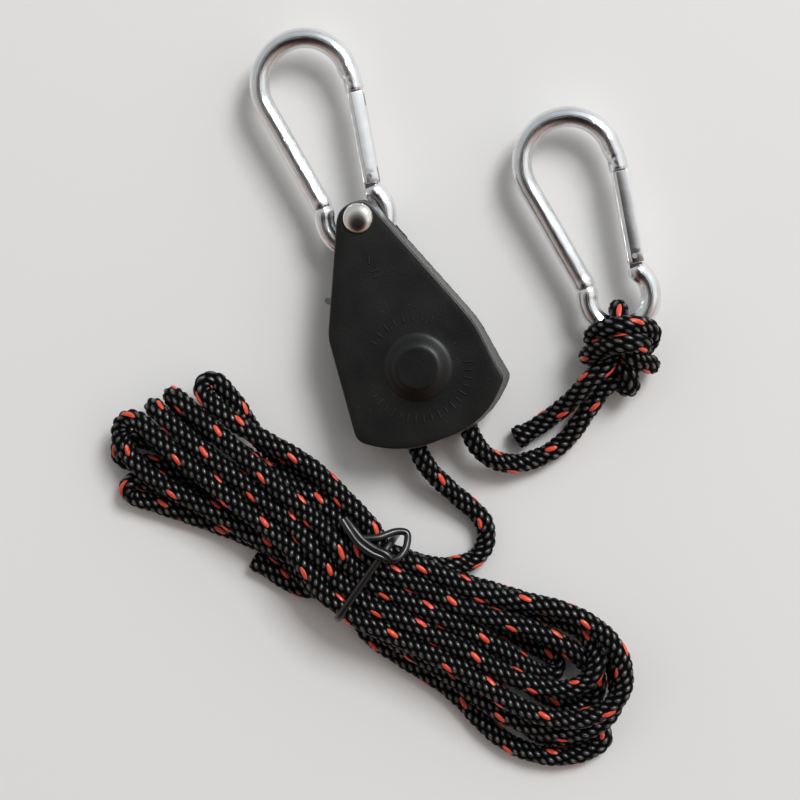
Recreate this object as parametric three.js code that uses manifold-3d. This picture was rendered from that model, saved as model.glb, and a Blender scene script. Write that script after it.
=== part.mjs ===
// Rope ratchet: a plastic housing with a ratchet sheave, a steel snap hook riveted in its
// tip, a second snap hook tied to the rope's load side, and the spare rope tied in a hank.
// Millimetres, +Z up. The origin is on the sheave's axis, at the flat of the rear boss.
// +Y runs from the sheave to the rivet, and the front cover faces +Z.

import * as THREE from 'three';
import { mergeVertices } from 'three/addons/utils/BufferGeometryUtils.js';
import Module from 'manifold-3d';

const wasm = await Module();
wasm.setup();

// ---- Driving dimensions ----

const HOUSING_DEPTH = 13;        // between the covers' outer faces
const BOSS_HEIGHT = 2.2;         // of the round boss on each cover
const Z_REAR = BOSS_HEIGHT;      // rear cover's outer face
const Z_FRONT = Z_REAR + HOUSING_DEPTH;
const Z_MID = (Z_REAR + Z_FRONT) / 2;
const WALL = 2;                  // rim of each cover
const PLATE = 1.8;               // flat of each cover
const EDGE = 0.9;                // rounding of the covers' outer edges
const PARTING_GAP = 0.1;         // half the gap between the two covers
const TIP_GAP = 5.8;             // between the covers where the hook's eye passes
const TIP_CLEARANCE = 12;        // radius kept free of rim around the rivet
const GAP = 0.3;                 // between pieces that touch

const RIVET = { x: 0, y: 38.8, shank: 2, head: 3.75, dome: 1.7 };
const SLEEVE = { outer: 3.4, inner: 2.3 };
const AXLE = { radius: 2.5, bore: 2.8, end: 1.4 };

const SHEAVE = { teeth: 12, tip: 11.6, root: 10.2, groove: 4.3, width: 7.6, flange: 1, phase: 20 };
const WASHER = { outer: 5, thickness: 0.5, play: 0.15 };

const PAWL_PIVOT = { x: -7, y: 17.5 };
const PAWL_PIN = 1.2;            // radius
const SPRING_WIRE = 0.25;        // radius of the pawl spring's wire

const WIRE = 2.45;               // radius of the hooks' wire
const EYE = 7.7;                 // centre-line radius of a hook's small eye
const BOW = { y: 34.7, radius: 11.15 };      // large end, from the eye's centre
const GATE = { width: 4.2, depth: 4.9, below: 1.8, above: 20.8, slot: 2.4, tongue: 1.8 };
const GATE_PIN = { x: 6.95, y: 7.8, radius: 0.65, hole: 0.95 };
const GATE_LEAN = -10.5;         // degrees from the hook's axis

const TOP_HOOK = { eye: [-1, 39.9], z: Z_MID, turn: -1 };
const END_HOOK = { eye: [51.35, -2.2], z: 7.9, turn: -0.75 };

const ROPE = 2.5;                // rope radius
const WRAP = 7.05;               // rope's centre-line radius on the sheave
const MOUTH = 3.3;               // radius of the rope mouths
const LOAD_MOUTH = [5.5, -18.1];
const FREE_MOUTH = [-8, -17.4];

const COLOURS = {
  plastic: { color: 0x17181a, roughness: 0.62, metalness: 0 },
  zinc: { color: 0xc9cdd1, roughness: 0.22, metalness: 1 },
  steel: { color: 0x9da1a5, roughness: 0.35, metalness: 1 },
  nickel: { color: 0xd8d2c6, roughness: 0.12, metalness: 1 },
  rope: { color: 0x0c0c0d, roughness: 0.6, metalness: 0 },
  tie: { color: 0x111112, roughness: 0.35, metalness: 0 },
};

// ---- Geometry helpers ----

const radians = THREE.MathUtils.degToRad;

/** A closed geometry as a solid, turned right side out if its faces point inwards. */
function solid(geometry) {
  const bare = geometry.clone();
  bare.deleteAttribute('normal');
  bare.deleteAttribute('uv');
  const merged = mergeVertices(bare, 1e-4);
  const vertProperties = new Float32Array(merged.attributes.position.array);
  const triVerts = new Uint32Array(merged.index.array);
  let body = new wasm.Manifold(new wasm.Mesh({ numProp: 3, vertProperties, triVerts }));
  if (body.volume() < 0) {
    for (let i = 0; i < triVerts.length; i += 3) {
      [triVerts[i], triVerts[i + 1]] = [triVerts[i + 1], triVerts[i]];
    }
    body = new wasm.Manifold(new wasm.Mesh({ numProp: 3, vertProperties, triVerts }));
  }
  return body;
}

/** A solid's surface as a geometry. */
function surface(body) {
  const mesh = body.getMesh();
  const geometry = new THREE.BufferGeometry();
  geometry.setAttribute('position', new THREE.BufferAttribute(mesh.vertProperties, 3));
  geometry.setIndex(new THREE.BufferAttribute(mesh.triVerts, 1));
  geometry.computeVertexNormals();
  return geometry;
}

/** A flat outline, from a list of [x, y] corners. */
const outline = (points) => new THREE.Shape(points.map(([x, y]) => new THREE.Vector2(x, y)));

/** An outline with rounded corners, from a list of [x, y, cut], where cut is how far from
    the corner its rounding starts. */
function roundedOutline(corners, divisions = 4) {
  const shape = new THREE.Shape();
  corners.forEach(([x, y, cut], i) => {
    const corner = new THREE.Vector2(x, y);
    const towards = (j) => new THREE.Vector2(...corners[(j + corners.length) % corners.length])
      .sub(corner).setLength(cut).add(corner);
    const start = towards(i - 1);
    const end = towards(i + 1);
    if (i) shape.lineTo(start.x, start.y);
    else shape.moveTo(start.x, start.y);
    shape.quadraticCurveTo(x, y, end.x, end.y);
  });
  return new THREE.Shape(shape.getPoints(divisions));
}

/** An outline on one smooth closed curve through [x, y] points. */
function smoothOutline(points, divisions) {
  const curve = new THREE.CatmullRomCurve3(
    points.map(([x, y]) => new THREE.Vector3(x, y, 0)), true, 'centripetal');
  return outline(curve.getSpacedPoints(divisions).slice(0, divisions).map((p) => [p.x, p.y]));
}

/** A shape pulled up from z0 to z1, with both ends' edges rounded by bevel. */
function extruded(shape, z0, z1, bevel = 0, segments = 2) {
  return new THREE.ExtrudeGeometry(shape, {
    depth: z1 - z0 - 2 * bevel,
    bevelEnabled: bevel > 0,
    bevelThickness: bevel,
    bevelSize: bevel,
    bevelOffset: -bevel,
    bevelSegments: segments,
    curveSegments: 12,
  }).translate(0, 0, z0 + bevel);
}

/** An upright cylinder. */
function post(x, y, radius, z0, z1, sides = 24) {
  return new THREE.CylinderGeometry(radius, radius, z1 - z0, sides)
    .rotateX(Math.PI / 2).translate(x, y, (z0 + z1) / 2);
}

/** A cylinder along Y. */
function bar(x, z, radius, y0, y1, sides = 16) {
  return new THREE.CylinderGeometry(radius, radius, y1 - y0, sides)
    .translate(x, (y0 + y1) / 2, z);
}

/** A box between two corners. */
function box([x0, y0, z0], [x1, y1, z1]) {
  return new THREE.BoxGeometry(x1 - x0, y1 - y0, z1 - z0)
    .translate((x0 + x1) / 2, (y0 + y1) / 2, (z0 + z1) / 2);
}

/** A solid of revolution about an upright axis, from a list of [radius, z]. */
function turned(profile, x = 0, y = 0, sides = 32) {
  const points = profile.map(([radius, z]) => new THREE.Vector2(radius, z));
  return new THREE.LatheGeometry(points, sides).rotateX(Math.PI / 2).translate(x, y, 0);
}

/** A flat ring. */
function ring(x, y, outer, inner, z0, z1, sides = 24) {
  return turned([[inner, z0], [outer, z0], [outer, z1], [inner, z1], [inner, z0]], x, y, sides);
}

/** A round bar along a smooth curve through points. */
function tube(points, radius, sides, steps) {
  const path = new THREE.CatmullRomCurve3(
    points.map((p) => new THREE.Vector3(...p)), false, 'centripetal');
  const section = new THREE.Shape();
  section.absarc(0, 0, radius, 0, 2 * Math.PI);
  const corners = section.getSpacedPoints(sides).slice(0, sides);
  return new THREE.ExtrudeGeometry(new THREE.Shape(corners), { steps, extrudePath: path });
}

/** Points [x, y, z] on a level arc. */
function arc(x, y, radius, from, to, z, count) {
  return Array.from({ length: count + 1 }, (_, i) => {
    const angle = radians(from + ((to - from) * i) / count);
    return [x + radius * Math.cos(angle), y + radius * Math.sin(angle), z];
  });
}

const union = (...parts) => parts.map(solid).reduce((a, b) => a.add(b));
const cut = (body, ...tools) => tools.map(solid).reduce((a, b) => a.subtract(b), body);

// ---- The assembly ----

const assembly = new THREE.Group();

/** Adds one named piece to a group. */
function piece(name, body, colour, group = assembly) {
  const geometry = body.isBufferGeometry ? body : surface(body);
  const mesh = new THREE.Mesh(geometry, new THREE.MeshStandardMaterial(COLOURS[colour]));
  mesh.name = name;
  group.add(mesh);
}

// ---- Housing ----

// Corners of the housing's outline, counter-clockwise from the tip's right side.
const HOUSING = [
  [3.9, 42.8, 3.6],
  [-3.9, 43.2, 3.6],
  [-17.9, 15, 2],
  [-20.9, -11.4, 2.6],
  [-11.5, -18.3, 8],
  [11, -18.9, 10],
  [20.2, -10.4, 2],
  [17.4, 5.4, 2.5],
];

/** The housing's corners, moved inwards by a distance. */
function insetHousing(distance) {
  const corners = HOUSING.map(([x, y]) => new THREE.Vector2(x, y));
  const count = corners.length;
  return HOUSING.map(([x, y, rounding], i) => {
    const before = corners[i].clone().sub(corners[(i + count - 1) % count]).normalize();
    const after = corners[(i + 1) % count].clone().sub(corners[i]).normalize();
    const turn = Math.acos(before.dot(after));
    const inwards = new THREE.Vector2(-before.y - after.y, before.x + after.x)
      .setLength(distance / Math.cos(turn / 2));
    return [x + inwards.x, y + inwards.y, Math.max(0.6, rounding - distance * Math.tan(turn / 2))];
  });
}

/** The front cover. The rear one is its mirror image. */
function cover() {
  const inside = Z_FRONT - PLATE;
  const slotTop = Z_MID + TIP_GAP / 2;
  const below = Z_MID - 1;
  let body = solid(extruded(roundedOutline(HOUSING, 5), Z_MID - 3, Z_FRONT, EDGE));
  body = body.add(solid(turned([
    [0, inside], [8.3, inside], [8.3, Z_FRONT], [7.7, Z_FRONT + 0.5], [7, Z_FRONT + 1.5],
    [6.1, Z_FRONT + BOSS_HEIGHT], [0, Z_FRONT + BOSS_HEIGHT],
  ])));
  const cavity = solid(extruded(roundedOutline(insetHousing(WALL), 4), below, inside))
    .subtract(solid(post(RIVET.x, RIVET.y, TIP_CLEARANCE + WALL, below - 1, inside + 1, 40)));
  body = body.subtract(cavity);
  return cut(
    body,
    post(RIVET.x, RIVET.y, TIP_CLEARANCE, below, slotTop, 40),
    post(RIVET.x, RIVET.y, SLEEVE.inner, below, Z_FRONT + 1),
    post(0, 0, AXLE.bore, below, Z_FRONT + AXLE.end),
    post(PAWL_PIVOT.x, PAWL_PIVOT.y, PAWL_PIN + GAP, below, inside + 1.1, 16),
    bar(LOAD_MOUTH[0], Z_MID, MOUTH, -24, -13),
    bar(FREE_MOUTH[0], Z_MID, MOUTH, -24, -13),
    box([-20, 20.6, Z_MID - 2], [-9, 27.4, Z_MID + 2]),
    box([-30, -30, Z_MID - 4], [30, 50, Z_MID + PARTING_GAP]),
  );
}

const frontCover = cover();
piece('front_cover', frontCover, 'plastic');
piece('rear_cover', frontCover.mirror([0, 0, 1]).translate([0, 0, 2 * Z_MID]), 'plastic');

// The rivet through the tip, with a domed head at each end, and the sleeve the hook rides on.
piece('hook_rivet', turned([
  [0, Z_REAR - RIVET.dome],
  [RIVET.head * 0.6, Z_REAR - RIVET.dome * 0.82],
  [RIVET.head * 0.9, Z_REAR - RIVET.dome * 0.45],
  [RIVET.head, Z_REAR - 0.1],
  [RIVET.shank, Z_REAR - 0.1],
  [RIVET.shank, Z_FRONT + 0.1],
  [RIVET.head, Z_FRONT + 0.1],
  [RIVET.head * 0.9, Z_FRONT + RIVET.dome * 0.45],
  [RIVET.head * 0.6, Z_FRONT + RIVET.dome * 0.82],
  [0, Z_FRONT + RIVET.dome],
], RIVET.x, RIVET.y, 24), 'nickel');
piece('rivet_sleeve', ring(
  RIVET.x, RIVET.y, SLEEVE.outer, SLEEVE.inner,
  Z_MID - TIP_GAP / 2 + 0.15, Z_MID + TIP_GAP / 2 - 0.15), 'steel');

// ---- Sheave, axle and washers ----

const sheaveTop = Z_MID + SHEAVE.width / 2;
const sheaveFloor = Z_MID - SHEAVE.width / 2;

/** One ratchet flange: each tooth has a steep face and a long sloping back. */
function toothedFlange(z0) {
  const pitch = 360 / SHEAVE.teeth;
  const corners = [];
  for (let tooth = 0; tooth < SHEAVE.teeth; tooth += 1) {
    const start = SHEAVE.phase + tooth * pitch;
    for (const [radius, angle] of [
      [SHEAVE.root, start], [SHEAVE.tip, start + 0.4], [SHEAVE.tip - 0.3, start + 5],
      [(SHEAVE.tip + SHEAVE.root) / 2 - 0.1, start + 17],
    ]) {
      corners.push([radius * Math.cos(radians(angle)), radius * Math.sin(radians(angle))]);
    }
  }
  return extruded(outline(corners), z0, z0 + SHEAVE.flange);
}

piece('ratchet_sheave', cut(
  union(
    toothedFlange(sheaveTop - SHEAVE.flange),
    toothedFlange(sheaveFloor),
    turned([
      [0, sheaveFloor], [9.4, sheaveFloor], [9.4, sheaveFloor + SHEAVE.flange],
      [SHEAVE.groove, sheaveFloor + SHEAVE.flange], [SHEAVE.groove, sheaveTop - SHEAVE.flange],
      [9.4, sheaveTop - SHEAVE.flange], [9.4, sheaveTop], [0, sheaveTop],
    ]),
  ),
  post(0, 0, AXLE.bore, 0, Z_FRONT),
), 'zinc');

piece('sheave_axle', post(
  0, 0, AXLE.radius, Z_REAR - AXLE.end + GAP, Z_FRONT + AXLE.end - GAP), 'steel');

for (const [name, z0] of [
  ['sheave_washer_front', sheaveTop + WASHER.play + 0.1],
  ['sheave_washer_rear', sheaveFloor - WASHER.play - 0.1 - WASHER.thickness],
]) {
  piece(name, ring(0, 0, WASHER.outer, AXLE.bore, z0, z0 + WASHER.thickness), 'steel');
}

// ---- Pawl, its pin and its torsion spring ----

const pawlTop = sheaveTop - 0.1;
const pawlHub = Z_MID - 1.9;     // the spring's coil sits below this

const PAWL_NOSE = [
  [-7.64, 7.35], [-6.75, 8.75], [-6.05, 11.3], [-5.5, 13.4], [-9.7, 13.4], [-9.2, 8.9],
];
const PAWL_ARM = [
  [-6.05, 11.3], [-4.6, 15.4], [-4.3, 17.6], [-5.2, 19.6], [-7.2, 20.5],
  [-9.2, 20.3], [-10, 18.8], [-9.8, 15], [-9.5, 11.3],
];
const PAWL_TAB = [
  [-8.4, 20.5], [-15, 24.2], [-15.7, 23.6], [-15.5, 22.7], [-9.4, 19.1],
];

piece('pawl', cut(
  union(
    extruded(outline(PAWL_NOSE), sheaveFloor + 0.1, pawlTop),
    extruded(outline(PAWL_ARM), pawlHub, pawlTop),
    extruded(outline(PAWL_TAB), Z_MID - 1.4, Z_MID + 1.4),
  ),
  post(PAWL_PIVOT.x, PAWL_PIVOT.y, PAWL_PIN + GAP, 0, Z_FRONT, 16),
), 'steel');

piece('pawl_pin', post(
  PAWL_PIVOT.x, PAWL_PIVOT.y, PAWL_PIN, Z_REAR + PLATE - 0.9, Z_FRONT - PLATE + 0.9, 16), 'steel');

/** The torsion spring: a leg to the rim, turns round the pin, and a leg beside the nose. */
function pawlSpring() {
  const foot = Z_REAR + PLATE + 0.5;
  const rise = 0.62;             // per turn
  const coilRadius = 2.1;
  const coil = arc(PAWL_PIVOT.x, PAWL_PIVOT.y, coilRadius, 90, 900, foot, 20)
    .map(([x, y, z], i) => [x, y, z + (i * rise * 2.25) / 20]);
  const [x, y, z] = coil[coil.length - 1];
  return tube([
    [5.6, 21.4, foot], [-1, 20.2, foot], ...coil, [x - 0.6, y - 3, z], [x - 1.1, y - 7, z],
  ], SPRING_WIRE, 6, 44);
}

piece('pawl_spring', pawlSpring(), 'steel');

// ---- Snap hooks ----

/** Runs along the gate from its pin: a point at the given distance, in the hook's plane. */
function alongGate(distance) {
  const lean = radians(90 + GATE_LEAN);
  return [GATE_PIN.x + distance * Math.cos(lean), GATE_PIN.y + distance * Math.sin(lean)];
}

/** Puts geometry made along +Y from the pin's centre into the hook's frame. */
const onGate = (geometry) => geometry
  .rotateZ(radians(GATE_LEAN)).translate(GATE_PIN.x, GATE_PIN.y, 0);

/** The bent wire with a nose tongue and a hinge tongue, in the frame of its eye's centre. */
function hookBody() {
  const nose = alongGate(GATE.above + GAP);
  const collar = alongGate(-GATE.below - 1.3);
  const noseRun = [
    [...nose, 0],
    [nose[0] + 0.22, nose[1] + 1.9, 0],
    [nose[0] + 0.4, nose[1] + 3.8, 0],
  ];
  const bow = arc(0, BOW.y, BOW.radius, -4, 188, 0, 16);
  const spine = [[-9.9, 26, 0], [-8.7, 18, 0], [-7.5, 10, 0], [-6.75, 5.2, 0]];
  const eye = arc(0, 0, EYE, 150, 390, 0, 20);
  const wire = tube([...noseRun, ...bow, ...spine, ...eye, [...collar, 0]], WIRE, 12, 68);
  const half = GATE.tongue / 2;
  const tongue = (from, to, width) => onGate(box([-width / 2, from, -half], [width / 2, to, half]));
  return cut(
    union(
      wire,
      tongue(GATE.above - 3, GATE.above + 1.5, 3),
      tongue(-GATE.below - 2.4, 0, 3.2),
      post(GATE_PIN.x, GATE_PIN.y, 1.6, -half, half, 16),
    ),
    post(GATE_PIN.x, GATE_PIN.y, GATE_PIN.hole, -4, 4, 12),
  );
}

/** The folded gate: slotted at both ends, with a bore for its spring. */
function gateBody() {
  const w = GATE.width / 2;
  const d = GATE.depth / 2;
  const section = roundedOutline([[w, -d, 0.7], [w, d, 0.7], [-w, d, 1.3], [-w, -d, 1.3]], 3);
  const length = GATE.above + GATE.below;
  const sleeve = new THREE.ExtrudeGeometry(section, { depth: length, bevelEnabled: false })
    .rotateX(-Math.PI / 2).translate(0, -GATE.below, 0);
  const slot = GATE.slot / 2;
  return cut(
    solid(onGate(sleeve)),
    onGate(box([-4, GATE.above - 3.6, -slot], [4, GATE.above + 2, slot])),
    onGate(box([-4, -6, -slot], [4, 2.1, slot])),
    onGate(bar(0, 0, 1.3, 1, 14.5, 12)),
    onGate(post(0, 0, GATE_PIN.hole, -4, 4, 12)),
  );
}

/** The coil spring inside the gate. */
function gateSpring() {
  const perTurn = 8;
  const turns = 6;
  const coil = Array.from({ length: turns * perTurn + 1 }, (_, i) => {
    const angle = (i * 2 * Math.PI) / perTurn;
    return [0.85 * Math.cos(angle), 5.4 + (i * 8.2) / (turns * perTurn), 0.85 * Math.sin(angle)];
  });
  return onGate(tube(coil, 0.18, 5, turns * perTurn));
}

/** The plunger that the spring pushes against the hinge tongue. */
function gatePlunger() {
  const points = [[0, 2], [0.5, 2.1], [1, 3], [1, 5], [0, 5]];
  return onGate(new THREE.LatheGeometry(points.map((p) => new THREE.Vector2(...p)), 12));
}

/** Adds one snap hook, with its five pieces, at a place. */
function snapHook(name, { eye, z, turn }) {
  const group = new THREE.Group();
  group.position.set(eye[0], eye[1], z);
  group.rotation.z = radians(turn);
  assembly.add(group);
  piece(`${name}_body`, hookBody(), 'zinc', group);
  piece(`${name}_gate`, gateBody(), 'zinc', group);
  piece(`${name}_gate_pin`, onGate(post(0, 0, GATE_PIN.radius, -2.55, 2.55, 12)), 'steel', group);
  piece(`${name}_gate_spring`, gateSpring(), 'steel', group);
  piece(`${name}_gate_plunger`, gatePlunger(), 'steel', group);
}

snapHook('top_hook', TOP_HOOK);
snapHook('end_hook', END_HOOK);

// ---- Rope ----

// Over the sheave, from the free side's mouth to the load side's.
const wrapPath = [
  [FREE_MOUTH[0], FREE_MOUTH[1], Z_MID],
  [-7.6, -11, Z_MID],
  [-WRAP, -4, Z_MID],
  ...arc(0, 0, WRAP, 180, 0, Z_MID, 10),
  [WRAP, -4, Z_MID],
  [6.4, -11, Z_MID],
  [LOAD_MOUTH[0], LOAD_MOUTH[1], Z_MID],
];
piece('rope_wrap', tube(wrapPath, ROPE, 10, 26), 'rope');

// Load side, from its mouth to the knot.
const loadPath = [
  [LOAD_MOUTH[0], LOAD_MOUTH[1] - 2 * GAP, Z_MID], [5.4, -21, 8.5], [5.9, -24.2, 7.8],
  [7.6, -27.6, 6.5], [10.6, -30.2, 5], [14.6, -31.6, 3.7], [19.6, -31.9, 2.9], [24.4, -31, 2.7],
  [29, -28.9, 3.1], [33.3, -25.9, 4.2], [36.9, -22.9, 5.4], [39.3, -20.7, 6.2],
];
piece('rope_load_side', tube(loadPath, ROPE, 10, 22), 'rope');

// The short tail that leaves the knot, down to its melted end.
const tailPath = [
  [39, -17, 11.3], [36.9, -18.6, 10.2], [33.6, -20.5, 8.4], [29.4, -22.2, 6.2],
  [24.6, -23.7, 4.2], [19.4, -24.9, 3], [14.6, -25.4, 2.7],
];
piece('rope_tail', tube(tailPath, ROPE, 10, 12), 'rope');

// The knot, with the bight that passes through the end hook's eye.
const eyeLow = [END_HOOK.eye[0], END_HOOK.eye[1] - EYE];
const bightRadius = WIRE + ROPE + GAP + 0.1;

function knot() {
  const blob = extruded(smoothOutline([
    [56.6, -13], [54, -7.6], [46.5, -5.4], [40.2, -9], [37.8, -14.6], [40, -20.6],
    [45.4, -23.9], [52.2, -21.6],
  ], 28), 0.4, 15.4, 3, 3);
  const bight = tube([-95, -60, -30, 0, 30, 60, 95].map((angle) => [
    eyeLow[0] - 0.6,
    eyeLow[1] + bightRadius * Math.cos(radians(angle)),
    END_HOOK.z + bightRadius * Math.sin(radians(angle)),
  ]), ROPE, 12, 16);
  const eyeRoom = new THREE.TorusGeometry(EYE, WIRE + GAP, 12, 40)
    .translate(END_HOOK.eye[0], END_HOOK.eye[1], END_HOOK.z);
  const eyeOpening = post(...END_HOOK.eye, EYE, -5, 20, 32);
  const body = solid(blob).subtract(solid(eyeOpening)).add(solid(bight));
  const ropeRoom = [loadPath, tailPath].map((path) => tube(path, ROPE + GAP, 10, 22));
  return cut(body, eyeRoom, ...ropeRoom);
}

piece('rope_knot', knot(), 'rope');

// Free side, from its mouth to the hank.
const freePath = [
  [FREE_MOUTH[0], FREE_MOUTH[1] - 2 * GAP, Z_MID], [-8.1, -20.5, 8.4], [-7.5, -24.5, 7.3],
  [-6, -28.6, 5.8], [-4.2, -32.6, 4.3], [-2.6, -36.6, 3.2], [-1.8, -40.6, 2.7],
  [-2.4, -44.6, 2.6], [-5.3, -47.9, 2.6], [-9.2, -49.1, 3],
];
piece('rope_free_side', tube(freePath, ROPE, 10, 18), 'rope');

// The hank: its outline, and how high its stacked passes stand.
const HANK_TOP = 14.6;
const HANK = [
  [-12, -51], [-4, -57.4], [6, -62.8], [15.4, -70.2], [21.2, -78.6], [22, -87.4], [16.4, -97],
  [6.4, -105.4], [-4.8, -106], [-14.6, -101], [-20.6, -91.2], [-23.4, -79.4], [-31, -67.6],
  [-38.6, -54.8], [-44.4, -44.6], [-52.2, -35], [-56.4, -28.6], [-57.2, -21.8],
  [-65.6, -16.2], [-77.4, -8.4], [-81.4, -1.6], [-78.8, 9], [-72, 16.4], [-61.5, 17],
  [-51.6, 19], [-46.4, 13.6], [-42.4, 1], [-34.4, -11], [-28.4, -23], [-24, -35], [-17.6, -45.4],
];

// The wire tie goes round the hank at its waist, and its ends are twisted together on top.
const TIE = { x: -31.8, y: -43.5, turn: -56.6, half: 12.3, wire: 0.9, twist: 1.2 };
const tieTurn = radians(TIE.turn);
const tieRoom = TIE.wire + GAP;

/** A point on the tie's loop, from its place across the hank and its height. */
const acrossHank = (across, z) => [
  TIE.x - across * Math.sin(tieTurn), TIE.y + across * Math.cos(tieTurn), z,
];

const TIE_LOOP = [
  [9.2, 15.6], [TIE.half - 1, 14], [TIE.half, 11], [TIE.half, 3.4], [TIE.half - 1.5, 1.4],
  [0, 1.3], [-TIE.half + 1.5, 1.4], [-TIE.half, 3.4], [-TIE.half, 11], [-TIE.half + 1.6, 14.4],
  [0, 15.8], [6.6, 16],
];
const TIE_TWIST = [[-24.4, -40.9, 16.4], [-27.2, -35, 16.5], [-30.8, -28.1, 16]];
const TIE_CURL = [
  [-25.2, -40.2, 16.4], [-22.3, -41.3, 16.2], [-20.2, -40.6, 15.4], [-18.4, -38.6, 14.2],
  [-17.8, -36.5, 13.6], [-20, -35.2, 14], [-24.4, -34.8, 15.6], [-28, -33.6, 16.2],
];

/** Cuts the hank back to a slimmer section where the tie holds it. */
function waist() {
  const room = 1.6;
  const slab = box([-room, -30, -1], [room, 30, 20]);
  const core = box([-room - 1, -TIE.half + 2 * tieRoom, 1.2 + tieRoom],
    [room + 1, TIE.half - 2 * tieRoom, 12.6]);
  return solid(slab).subtract(solid(core))
    .rotate([0, 0, TIE.turn]).translate([TIE.x, TIE.y, 0]);
}

piece('rope_hank', solid(extruded(smoothOutline(HANK, 76), 0.2, HANK_TOP, 2.6))
  .subtract(waist()), 'rope');

piece('hank_tie', union(
  tube(TIE_LOOP.map(([across, z]) => acrossHank(across, z)), TIE.wire, 8, 40),
  tube(TIE_TWIST, TIE.twist, 8, 8),
  tube(TIE_CURL, TIE.wire, 8, 20),
), 'tie');

export default assembly;
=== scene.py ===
"""Looks for the adjustable rope ratchet hanger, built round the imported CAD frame.

Lengths in this script are written in millimetres and multiplied by MM, because Blender's
objects are in metres. The frame is the CAD model's: +Z out of the front cover, +Y from the
sheave to the rivet.
"""

import math

import bmesh
import bpy
import numpy as np
from mathutils import Matrix, Vector


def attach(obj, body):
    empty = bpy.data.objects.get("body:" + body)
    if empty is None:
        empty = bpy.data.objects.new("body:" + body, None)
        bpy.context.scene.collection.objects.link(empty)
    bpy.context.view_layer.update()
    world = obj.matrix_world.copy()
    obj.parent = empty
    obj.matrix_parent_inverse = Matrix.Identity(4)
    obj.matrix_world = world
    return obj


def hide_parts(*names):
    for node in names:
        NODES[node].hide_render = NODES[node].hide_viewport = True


MM = 0.001

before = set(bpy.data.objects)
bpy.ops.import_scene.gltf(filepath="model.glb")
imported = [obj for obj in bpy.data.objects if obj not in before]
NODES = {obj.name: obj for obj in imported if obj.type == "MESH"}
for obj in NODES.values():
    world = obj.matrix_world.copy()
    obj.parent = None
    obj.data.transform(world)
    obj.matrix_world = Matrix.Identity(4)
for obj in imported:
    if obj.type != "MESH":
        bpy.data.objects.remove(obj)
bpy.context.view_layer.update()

Z_MID = 8.7                      # middle of the housing's thickness
Z_FRONT = 15.2                   # front cover's face
ROPE = 2.5                       # rope radius
TURN = 2 * math.pi

# The picture's right and up, level with the table.
PICTURE_RIGHT = np.array([0.9272, -0.3746, 0])
PICTURE_UP = np.array([0.3746, 0.9272, 0])


# ---- curves and meshes

def catmull(points, step):
    """A smooth curve through points, as points about step apart."""
    p = np.asarray(points, float)
    p = np.vstack([2 * p[0] - p[1], p, 2 * p[-1] - p[-2]])
    dense = []
    for i in range(1, len(p) - 2):
        # Knots that stand apart by the square root of the distance, so the curve has no loops.
        knots = [0.0]
        for a, b in zip(p[i - 1:i + 2], p[i:i + 3]):
            knots.append(knots[-1] + max(np.linalg.norm(b - a), 1e-6) ** 0.5)
        t0, t1, t2, t3 = knots
        count = max(4, int(np.linalg.norm(p[i + 1] - p[i]) / step * 4))
        t = np.linspace(t1, t2, count, endpoint=False)[:, None]

        def between(a, b, start, end):
            """A straight move from a to b."""
            return ((end - t) * a + (t - start) * b) / (end - start)

        before = between(p[i - 1], p[i], t0, t1)
        middle = between(p[i], p[i + 1], t1, t2)
        after = between(p[i + 1], p[i + 2], t2, t3)
        dense.append(between(
            between(before, middle, t0, t2), between(middle, after, t1, t3), t1, t2))
    return respaced(np.vstack(dense + [p[-2:-1]]), step)


def lengths(vectors):
    """The length of each row."""
    return np.linalg.norm(vectors, axis=1)


def arc_lengths(points):
    """The distance along a polyline to each of its points."""
    return np.concatenate([[0], np.cumsum(lengths(np.diff(points, axis=0)))])


def respaced(points, step):
    """The same polyline with evenly spaced points."""
    along = arc_lengths(points)
    count = max(2, int(round(along[-1] / step)) + 1)
    at = np.linspace(0, along[-1], count)
    return np.stack([np.interp(at, along, points[:, k]) for k in range(3)], 1)


def b_spline(points, step):
    """A cubic B-spline with these control points, clamped at both ends."""
    p = np.vstack([2 * points[0] - points[1], points, 2 * points[-1] - points[-2]])
    t = np.linspace(0, 1, 8, endpoint=False)[None, :, None]
    a, b, c, d = (p[k:len(p) - 3 + k][:, None] for k in range(4))
    curve = ((1 - t) ** 3 * a + (3 * t ** 3 - 6 * t ** 2 + 4) * b
             + (-3 * t ** 3 + 3 * t ** 2 + 3 * t + 1) * c + t ** 3 * d) / 6
    return respaced(np.vstack([curve.reshape(-1, 3), points[-1:]]), step)


def frames_along(points):
    """Two directions across the path at each point, carried along without twist."""
    tangent = np.gradient(points, axis=0)
    tangent /= lengths(tangent)[:, None]
    normal = np.empty_like(tangent)
    upright = abs(tangent[0, 2]) > 0.9
    n = np.array([0.0, 1.0, 0.0] if upright else [0.0, 0.0, 1.0])
    for i, t in enumerate(tangent):
        n = n - (n @ t) * t
        n = n / np.linalg.norm(n)
        normal[i] = n
    return normal, np.cross(tangent, normal)


def add_object(name, data):
    """A new object in the scene."""
    obj = bpy.data.objects.new(name, data)
    bpy.context.scene.collection.objects.link(obj)
    return obj


def mesh_object(name, verts, faces, smooth=True):
    """A mesh object from points in millimetres."""
    mesh = bpy.data.meshes.new(name)
    mesh.from_pydata((np.asarray(verts) * MM).tolist(), [], faces)
    mesh.update()
    if smooth:
        mesh.shade_smooth()
    return add_object(name, mesh)


def grid_faces(rings, sides):
    """Quads that join rings of points, each ring with the same number of sides."""
    i = np.arange(rings - 1)[:, None]
    k = np.arange(sides)[None, :]
    k2 = (k + 1) % sides
    quads = np.stack(np.broadcast_arrays(
        i * sides + k, i * sides + k2, (i + 1) * sides + k2, (i + 1) * sides + k), -1)
    return quads.reshape(-1, 4)


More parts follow.
